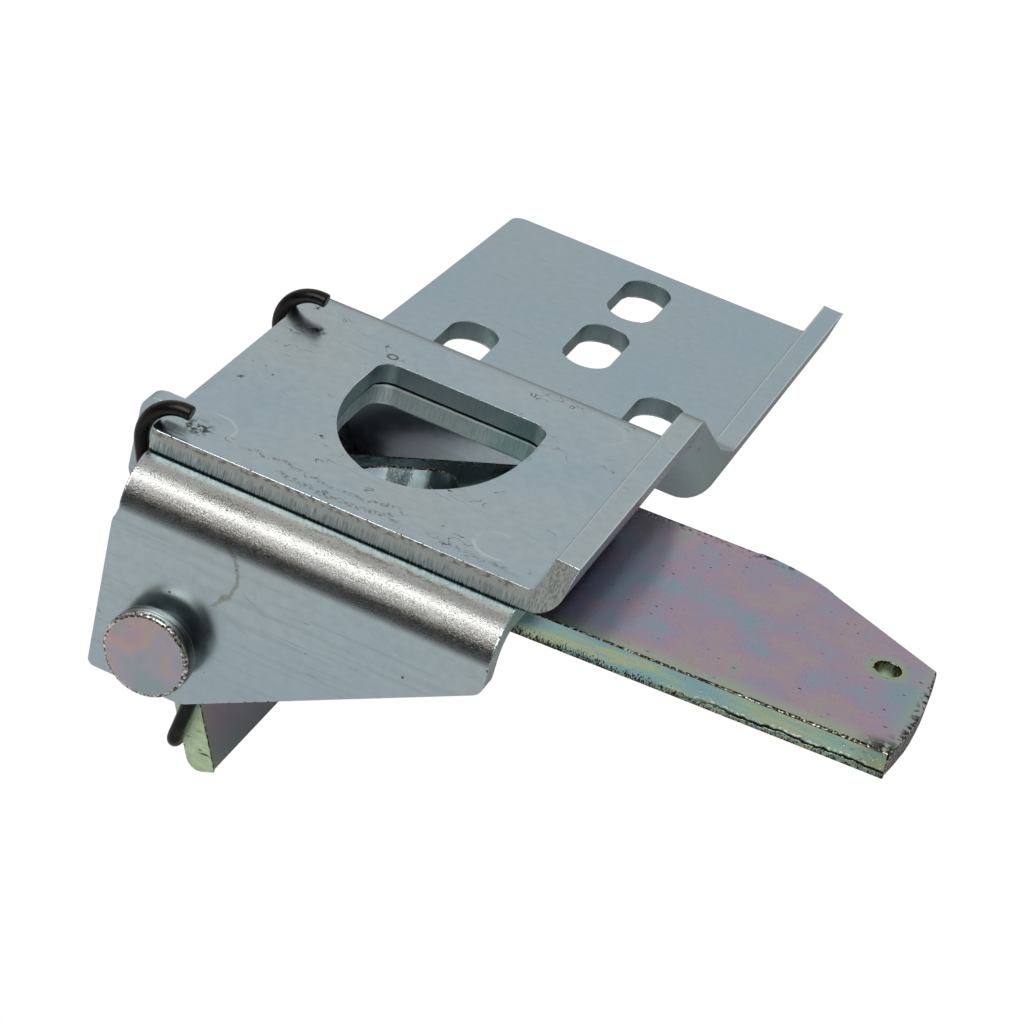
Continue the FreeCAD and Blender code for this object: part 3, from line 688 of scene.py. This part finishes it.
# %% Bracket finish
def bracket_finish():
    m = Material("clear zinc bracket")
    p = Place(m)
    colour, rough, grain = zinc_skin(m, p, 11.0)
    coarse = noise(m, p.mm, 8.0, 3.0, 6.0, (0.8, 1, 1))
    bend = product(m, between(m, p.steep_y, 0.12, 0.35), between(m, p.steep_z, 0.02, 0.3))
    peel = m.add("Math", {0: grain, 1: 1.5, 2: coarse}, operation="MULTIPLY_ADD")
    relief = product(m, peel, m.add("MapRange", {0: bend, 3: 0.03, 4: 0.6}))
    rough = m.add("Math", {0: bend, 1: 0.03, 2: rough}, operation="MULTIPLY_ADD")
    colour = bend_painted_light_and_rubs(m, p, colour, bend, grain, coarse)
    colour = cheek_painted_light_and_marks(m, p, colour, grain, coarse)

    edge_colour, edge_rough, streak = sheared(m, p, 15.0)
    in_web = product(m, between(m, p.z, -8.3, -8.1), between(m, p.steep_y, 0.3, 0.6),
                     between(m, p.steep_z, 0.3, 0.1))
    under = product(m, between(m, p.nz, -0.3, -0.6), between(m, p.z, -18.0, -20.0))
    cut = either(m, between(m, p.steep_x, 0.2, 0.45), in_web, under)
    edge_colour = painted(m, edge_colour, (product(m, in_web, 0.4), "cbe0db"),
                          (product(m, in_web, between(m, p.z, -4.75, -4.55)), "e8f0ee"))
    return finish_metal(m, painted(m, colour, (cut, edge_colour)),
                        painted(m, rough, (cut, edge_rough)),
                        painted(m, relief, (cut, streak)), 0.05)


bracket_metal = bracket_finish()
print("finish:", bracket_metal.name)

# %% [markdown]
# ## Iridescent zinc
# The lever and the pin carry zinc with a yellow chromate film. The film is so
# thin that it splits light, so its colour wanders between pink, teal and straw
# with its thickness. Blender has a thin film of its own, but the real colours
# follow stains and handling marks, so a ramp over slow noise is easier to match.


# %% Chromate film
def film(m, p, seed, stops):
    """Film colour from patches of 20 mm and 6 mm, and the 6 mm ones alone."""
    drift = noise(m, p.mm, 0.05, 4.0, seed)
    ripple = noise(m, p.mm, 0.16, 4.0, seed + 5)
    mixed = m.add("Math", {0: drift, 1: 0.55}, operation="MULTIPLY")
    mixed = m.add("Math", {0: ripple, 1: 0.45, 2: mixed}, operation="MULTIPLY_ADD")
    return m.add("ValToRGB", {0: mixed}, stops=stops), ripple


print("film patches:", 1 / 0.05, "mm and", 1 / 0.16, "mm")

# %% [markdown]
# ## Face of the lever
# The film is green along the handle's front edge and round its hole, blue under
# the plate and teal from there towards the pin. Grit of 0.2 mm dulls it a
# little. Short dark pits lie all over, more of them towards the tip, where the
# plating is rubbed through.

# %% Face of the lever
CABLE_HOLE = (82.85, 1.6)


def lever_face(m, p, colour, ripple, fine):
    """Grit and the green, blue and pink parts of the film."""
    grit = product(m, between(m, noise(m, p.mm, 5.0, 2.0, 33.0), 0.50, 0.68), 0.35)
    near = m.add("Math", {0: ripple, 1: 5.0, 2: p.y}, operation="MULTIPLY_ADD")
    fringe = either(m, between(m, near, -14.3, -18.0),
                    product(m, between(m, p.x, 87.0, 89.8), 0.5))
    fringe = product(m, fringe, m.add("MapRange", {0: fine, 3: 0.5, 4: 0.95}))
    far = away(m, p.x, p.y, CABLE_HOLE)
    round_hole = product(m, between(m, far, 4.4, 3.4),
                         m.add("MapRange", {0: ripple, 3: 0.5, 4: 1.0}))
    above = between(m, p.z, -24.0, -18.0)
    under_plate = product(m, between(m, p.x, 32.0, 22.0), above,
                          m.add("MapRange", {0: ripple, 3: 0.6, 4: 1.0}))
    return painted(m, colour, (grit, "77717c"), (fringe, "9bae92"), (round_hole, "8fa39a"),
                   (between(m, far, 3.3, 2.6), "9aa280"), (under_plate, "979cb4"),
                   (product(m, between(m, p.x, 18.0, 12.0), above, 0.8), "84a5a2"),
                   (product(m, between(m, p.z, -22.0, -30.0), 0.5), "c6b3be"),
                   (product(m, between(m, p.z, -52.0, -62.0), 0.6), "96ada6"))


def lever_pits(m, p):
    """Short dark dents, and smut where hands and the plate have rubbed."""
    squeezed = m.add("VectorMath", {0: p.mm, 1: (0.7, 1.5, 1.0)}, operation="MULTIPLY")
    smut = noise(m, p.mm, 0.9, 5.0, 14.0)
    tip = product(m, between(m, p.x, 70.0, 90.0), specks(m, squeezed, 1.0, 0.12, 0.3))
    rubbed = either(m, product(m, between(m, p.x, 87.0, 90.8), between(m, p.y, -13.0, -20.0)),
                    product(m, between(m, p.y, 18.8, 21.3), between(m, p.x, 75.0, 60.0)),
                    between(m, p.x, 89.2, 90.4))
    corner = product(m, between(m, p.x, 83.5, 88.5), between(m, p.y, -17.0, -20.3),
                     between(m, smut, 0.38, 0.48))
    return either(m, specks(m, squeezed, 0.55, 0.10, 0.16), specks(m, squeezed, 1.3, 0.05, 0.3),
                  tip, corner, product(m, rubbed, between(m, smut, 0.50, 0.60)))


print("cable hole at", CABLE_HOLE)

# %% [markdown]
# ## Front edge of the lever
# The bar was sheared from above. Its front edge has a smooth green skin that
# turns into a torn band about 2 mm down, with crumbs of 0.7 mm and dark stabs
# towards the bottom. Near the tip a wavy crack parts the two, and a painted
# highlight runs along the lip above it. All of them lie by their depth below
# the handle's upper face, which slopes.

# %% Front edge of the lever
HANDLE_SLOPE = 0.03614
HANDLE_TOP = -8.05 - 29.85 * HANDLE_SLOPE


def lever_edge(m, p, crumble):
    """Colour of the front edge, and masks of its torn band and its crack."""
    top = m.add("Math", {0: p.x, 1: HANDLE_SLOPE, 2: HANDLE_TOP}, operation="MULTIPLY_ADD")
    depth = m.add("Math", {0: top, 1: p.z}, operation="SUBTRACT")
    wave = noise(m, p.mm, 0.16, 4.0, 6.0, (1, 0, 0))
    ragged = noise(m, p.mm, 0.9, 3.0, 61.0)
    tear = m.add("Math", {0: wave, 1: 2.6, 2: 1.9}, operation="MULTIPLY_ADD")
    tear = m.add("Math", {0: ragged, 1: 0.9, 2: tear}, operation="MULTIPLY_ADD")
    below = m.add("Math", {0: depth, 1: tear}, operation="SUBTRACT")

    smooth = noise(m, p.mm, 0.5, 4.0, 2.0, (0.15, 1, 1))
    green = m.add("ValToRGB", {0: smooth},
                  stops=[(0.36, "8fb0b8"), (0.5, "9dbcaa"), (0.60, "b9bf98"),
                         (0.70, "93b3c2")])
    brushed = noise(m, p.mm, 3.6, 3.0, 17.0, (1.5, 1, 0.6))
    torn_and_foot_shade = m.add("ValToRGB", {0: crumble},
                 stops=[(0.34, "353430"), (0.43, "7d8576"), (0.58, "a7b29b")])
    band = between(m, below, -0.4, 1.4)

    to_tip = m.add("MapRange", {0: p.x, 1: 50.0, 2: 66.0, 3: 0.0, 4: 1.0})
    crack = product(m, between(m, below, -0.38, -0.14), between(m, below, 0.30, 0.10), to_tip)
    # Painted highlight: a bright line along the lip above the crack.
    gleam = product(m, between(m, below, -0.85, -0.60), between(m, below, -0.32, -0.48),
                    to_tip, between(m, crumble, 0.50, 0.60))
    stabs = noise(m, p.mm, 3.2, 4.0, 23.0, (1.5, 1, 0.7))
    deeper = m.add("MapRange", {0: depth, 1: 2.2, 2: 4.7, 3: 0.27, 4: 0.57})
    deeper = m.add("Math", {0: to_tip, 1: -0.08, 2: deeper}, operation="MULTIPLY_ADD")
    stabs = m.add("Math", {0: deeper, 1: stabs}, operation="SUBTRACT")
    colour = painted(m, green, (product(m, between(m, brushed, 0.50, 0.66), 0.35), "7c9a86"),
                     (product(m, band, between(m, crumble, 0.66, 0.46)), torn_and_foot_shade),
                     (between(m, stabs, -0.03, 0.03), "33322d"), (crack, "1d1c1a"),
                     (gleam, "e4e8e0"))
    return colour, band, crack


print("handle rises", HANDLE_SLOPE, "mm per mm")

# %% [markdown]
# ## Lever finish
# All of this comes together here. The tight bend over the pin was drawn hard
# round its punch, so it is smoother, with small bumps across it, and its pale
# glints are painted highlights. The tip and the tail are dull torn faces, grim
# at the tip and pale green at the tail.


# %% Lever finish
def lever_finish():
    m = Material("iridescent zinc lever")
    p = Place(m)
    colour, ripple = film(m, p, 3.0, [(0.37, "7f9fa3"), (0.44, "9299a8"), (0.50, "9f92a5"),
                                      (0.555, "a794a0"), (0.61, "a69a9d"), (0.67, "8fa1a2")])
    fine = noise(m, p.mm, 2.4, 4.0, 1.0)
    crumble = noise(m, p.mm, 1.5, 5.0, 3.0, (1, 1, 0.5))
    drawn = product(m, between(m, p.x, 0.0, -6.0), between(m, p.z, -38.0, -34.0))
    glints = noise(m, p.mm, 0.45, 3.0, 12.0, (0.6, 1, 0.6))
    # Painted highlight: where the pale glints go on the tight bend.
    shine = m.add("MapRange", {0: glints, 1: 0.35, 2: 0.62, 3: 0.1, 4: 0.8})
    pits = lever_pits(m, p)
    edge, band, crack = lever_edge(m, p, crumble)
    side = product(m, between(m, p.steep_y, 0.8, 0.95), between(m, p.x, 5.0, 12.0))
    torn_side = product(m, side, band)

    to_tip = between(m, p.x, 60.0, 70.0)
    end = either(m, product(m, between(m, p.nx, 0.6, 0.8), to_tip),
                 product(m, between(m, p.steep_y, 0.8, 0.95), between(m, p.z, -30.0, -33.0)))
    bark = noise(m, p.mm, 0.8, 5.0, 9.0, (0.5, 1, 1.6))
    pale = m.add("ValToRGB", {0: bark},
                 stops=[(0.33, "5d6355"), (0.38, "cde0bf"), (0.60, "deeecd")])
    grim = m.add("ValToRGB", {0: crumble},
                 stops=[(0.38, "3a3835"), (0.52, "6d706a"), (0.66, "93948e")])
    colour = painted(m, lever_face(m, p, colour, ripple, fine),
                     (product(m, drawn, shine), "d6e8ec"), (pits, "35322f"), (side, edge),
                     (end, painted(m, pale, (to_tip, grim))))

    rough = m.add("MapRange", {0: ripple, 1: 0.3, 2: 0.7, 3: 0.17, 4: 0.25})
    rough = m.add("Math", {0: drawn, 1: -0.08, 2: rough}, operation="MULTIPLY_ADD")
    rough = painted(m, rough, (either(m, torn_side, end, pits), (0.6, 0.6, 0.6, 1.0)))

    relief = m.add("Math", {0: fine, 1: 0.25}, operation="MULTIPLY")
    for mask, height in ((either(m, pits, product(m, side, crack)), -2.5),
                         (product(m, either(m, torn_side, end), crumble), 3.0),
                         (product(m, drawn, glints), 3.5)):
        relief = m.add("Math", {0: mask, 1: height, 2: relief}, operation="MULTIPLY_ADD")
    return finish_metal(m, colour, rough, relief, 0.04)


lever_metal = lever_finish()
print("finish:", lever_metal.name)

# %% [markdown]
# ## Pin finish
# The pin has the same film on its face, with some pits. Its turned barrel is
# clear zinc with rings from the tool, 0.3 mm apart, bright towards the light
# and dark on the side that faces right, where it mirrors the bracket.


# %% Pin finish
def pin_finish():
    m = Material("iridescent zinc pin")
    p = Place(m)
    colour, ripple = film(m, p, 21.0, [(0.40, "9aa8ab"), (0.46, "aca7b2"), (0.52, "bda9a2"),
                                       (0.57, "b8a3b2"), (0.63, "a6afa8")])
    tool_rings = noise(m, p.mm, 1.2, 4.0, 6.0, (0.15, 2.5, 0.15))
    barrel = m.add("ValToRGB", {0: tool_rings},
                   stops=[(0.36, "7f807d"), (0.50, "c2c3c0"), (0.62, "e0e0dc")])
    barrel = painted(m, barrel, (product(m, between(m, p.nx, 0.0, 0.7), 0.75), "3b3d3c"))
    pits = specks(m, p.mm, 0.8, 0.08, 0.16)
    colour = painted(m, barrel, (between(m, p.ny, -0.9, -0.98), colour), (pits, "3a3633"))
    rough = m.add("MapRange", {0: ripple, 1: 0.3, 2: 0.7, 3: 0.3, 4: 0.42})
    relief = m.add("Math", {0: noise(m, p.mm, 3.0, 4.0, 2.0), 1: 0.6}, operation="MULTIPLY")
    relief = m.add("Math", {0: pits, 1: -2.0, 2: relief}, operation="MULTIPLY_ADD")
    return finish_metal(m, colour, rough, relief, 0.03)


pin_metal = pin_finish()
print("finish:", pin_metal.name)

# %% [markdown]
# ## Wire finish
# The spring is hard-drawn wire, blackened in oil. It looks almost black with a
# warm, wet shine. A metal that dark hardly shines, because its colour tints all
# that it reflects. So it is only seven tenths metal, and the rest shines like
# oil. Brown rubs lie on it in small spots.


# %% Wire finish
def wire_finish():
    m = Material("oiled spring steel")
    p = Place(m)
    cloud = noise(m, p.mm, 0.5, 4.0, 1.0)
    colour = m.add("ValToRGB", {0: cloud},
                   stops=[(0.35, "161515"), (0.55, "201e1c"), (0.7, "2c2724")])
    colour = painted(m, colour, (specks(m, p.mm, 0.7, 0.06, 0.3), "4b4743"))
    rough = m.add("MapRange", {0: cloud, 1: 0.3, 2: 0.7, 3: 0.24, 4: 0.36})
    return finish_metal(m, colour, rough, cloud, 0.03, metallic=0.7)


wire_metal = wire_finish()
print("finish:", wire_metal.name)

# %% [markdown]
# ## Rims and small parts
# Sharp edges lose their plating first. A narrow bevel on each edge takes a rim
# material of its own: pale with dark nicks of about half a millimetre on the
# zinc, bare steel on the pin and dark on the lever. Calm makes the zinc rim
# plainer behind the front edge, where it has had fewer knocks. The washer and
# the split pin are plain clear zinc.


# %% Rims and small parts
def rim_finish(name, bright, dull, dark, low, high, calm=0.0):
    """The worn rim that a bevel puts on every sharp edge."""
    m = Material(name)
    p = Place(m)
    quiet = m.add("MapRange", {0: p.y, 1: -27.5, 2: -24.0, 3: 0.0, 4: calm})
    nicks = m.add("Math", {0: quiet, 1: noise(m, p.mm, 2.2, 5.0, 12.0)}, operation="ADD")
    colour = m.add("ValToRGB", {0: nicks},
                   stops=[(low, dark), ((low + high) / 2, dull), (high, bright)])
    # Painted shade: the gap between plate and bracket is dark.
    gap_shade = product(m, between(m, p.z, -4.06, -3.98), between(m, p.z, -3.64, -3.72),
                   between(m, p.x, 30.0, 29.0), between(m, p.y, 29.5, 28.5))
    colour = painted(m, colour, (gap_shade, "101314"))
    rough = m.add("MapRange", {0: nicks, 1: low, 2: high, 3: 0.5, 4: 0.26})
    return finish_metal(m, colour, rough, nicks, 0.05)


def small_finish():
    m = Material("clear zinc small parts")
    colour, rough, grain = zinc_skin(m, Place(m), 31.0)
    return finish_metal(m, colour, rough, grain, 0.02)


zinc_rim = rim_finish("worn zinc rim", "c3cccf", "aeb8bb", "4f4d49", 0.36, 0.44, calm=0.13)
bare_rim = rim_finish("bare steel rim", "e2e1dc", "9a968f", "3a342e", 0.38, 0.60)
film_rim = rim_finish("worn dark rim", "cbc6b9", "5c534a", "24201d", 0.42, 0.62)
small_metal = small_finish()
print("rims:", zinc_rim.name, bare_rim.name, film_rim.name)

# %% [markdown]
# ## Finishes on the solids
# The solids come as triangles with sharp edges. Four modifiers dress them and
# leave the meshes themselves as they are: corners are joined, flat faces made
# whole, every sharp edge rounded to its real wear in millimetres, and the
# shading of the flats kept flat. The arc miter keeps the rim narrow where three
# edges meet.

# %% Finishes on the solids
JOIN_GAP = 0.03  # millimetres, as are the widths of the rims below
FLAT_ANGLE, SHARP_ANGLE = math.radians(0.5), math.radians(40)
FINISH = {
    "mounting_plate": (plate_metal, zinc_rim, 0.28),
    "saddle_bracket": (bracket_metal, zinc_rim, 0.28),
    "release_lever": (lever_metal, film_rim, 0.45),
    "pin_washer": (small_metal, zinc_rim, 0.2),
    "split_pin": (small_metal, zinc_rim, 0.1),
}
for node, (finish, rim, width) in FINISH.items():
    solid = nodes[node]
    solid.data.materials.clear()
    for metal in (finish, rim):
        solid.data.materials.append(metal)
    join = solid.modifiers.new("joined corners", "WELD")
    join.merge_threshold = JOIN_GAP * MM
    flats = solid.modifiers.new("whole flats", "DECIMATE")
    flats.decimate_type = "DISSOLVE"
    flats.angle_limit = FLAT_ANGLE
    soften = solid.modifiers.new("worn edges", "BEVEL")
    soften.width = width * MM
    soften.segments = 2
    soften.limit_method = "ANGLE"
    soften.angle_limit = SHARP_ANGLE
    soften.offset_type = "ABSOLUTE"
    soften.miter_outer = "MITER_ARC"
    soften.use_clamp_overlap = False
    soften.material = 1
    even = solid.modifiers.new("even shading", "WEIGHTED_NORMAL")
    even.keep_sharp = False
for metal in (pin_metal, bare_rim):
    pin.data.materials.append(metal)
for wire in wires:
    wire.data.materials.append(wire_metal)
print("dressed solids:", len(FINISH), "and own pieces:", len(wires) + 1)

# %% [markdown]
# ## Floor
# Only the camera sees white paper. Metal is as bright as what it reflects, so
# for all other rays the floor is a grey table. It is darker far in front of the
# latch and behind it, which gives the lower faces their soft fall-off.

# %% Floor
FLOOR_REACH, FLOOR_GAP = 3, 0.0005  # metres

corners = [(-1, -1), (1, -1), (1, 1), (-1, 1)]
floor_mesh = bpy.data.meshes.new("floor")
floor_mesh.from_pydata([(x * FLOOR_REACH, y * FLOOR_REACH, 0) for x, y in corners],
                       [], [(0, 1, 2, 3)])
floor = bpy.data.objects.new("floor", floor_mesh)
floor.location.z = cad_box[0].z - FLOOR_GAP
scene.collection.objects.link(floor)
white = Material("white paper")
depth = white.add("MapRange", {0: Place(white).y, 1: -220.0, 2: 220.0})
table = white.add("ValToRGB", {0: depth},
                  stops=[(0.0, 0.03), (0.22, 0.80), (0.64, 0.80), (0.82, 0.40)])
paper = white.add("BsdfPrincipled", {"Base Color": table, "Roughness": 0.9})
glow = white.add("Emission", {"Color": WHITE, "Strength": 1.0})
seen = white.add("LightPath").node.outputs["Is Camera Ray"]
white.add("OutputMaterial", {"Surface": white.add("MixShader", {0: seen, 1: paper, 2: glow})})
floor_mesh.materials.append(white.data)
print("floor at", round(floor.location.z / MM, 1), "mm")

# %% [markdown]
# ## Room
# The camera sees a white backdrop. Everything else sees a room that is lighter
# behind the latch than in front of it, from below the horizon up to the
# ceiling. A plain grey world would leave the upright faces without shading.

# %% Room
world = bpy.data.worlds.new("studio")
scene.world = world
room = Material("studio", world)
aim = room.add("SeparateXYZ", {0: room.add("TexCoord").node.outputs["Generated"]}).node.outputs
behind = room.add("ValToRGB", {0: aim[2]},
                  stops=[(0.0, 0.50), (0.35, 0.74), (0.6, 0.80), (0.85, 0.62), (1.0, 0.50)])
before = room.add("ValToRGB", {0: aim[2]},
                  stops=[(0.0, 0.02), (0.15, 0.04), (0.5, 0.20), (0.85, 0.46), (1.0, 0.50)])
around = painted(room, before, (between(room, aim[1], -0.25, 0.25), behind))
lit = room.add("Background", {"Color": around, "Strength": 1.0})
bright = room.add("Background", {"Color": WHITE, "Strength": 1.0})
seen = room.add("LightPath").node.outputs["Is Camera Ray"]
room.add("OutputWorld", {"Surface": room.add("MixShader", {0: seen, 1: lit, 2: bright})})
print("room ready:", world.name)

# %% [markdown]
# ## Softbox
# One large softbox stands in front of the latch and above it. It draws the
# broad highlight on the bracket's bend. A smaller lamp would give a thin hard
# line there. The Standard view shows colours as they are written.

# %% Softbox and view
SOFTBOX_AT = Vector((-0.20, -0.62, 0.60))  # metres, aimed at the origin

light = bpy.data.lights.new("front softbox", "AREA")
light.shape = "RECTANGLE"
light.size, light.size_y = 0.9, 0.5
light.energy = 5.5  # watts
lamp = bpy.data.objects.new("front softbox", light)
lamp.location = SOFTBOX_AT
lamp.rotation_mode = "QUATERNION"
lamp.rotation_quaternion = (-SOFTBOX_AT).to_track_quat("-Z", "Y")
scene.collection.objects.link(lamp)

scene.view_settings.view_transform = "Standard"
print("softbox of", light.energy, "W")

# %% End
print("scene built")
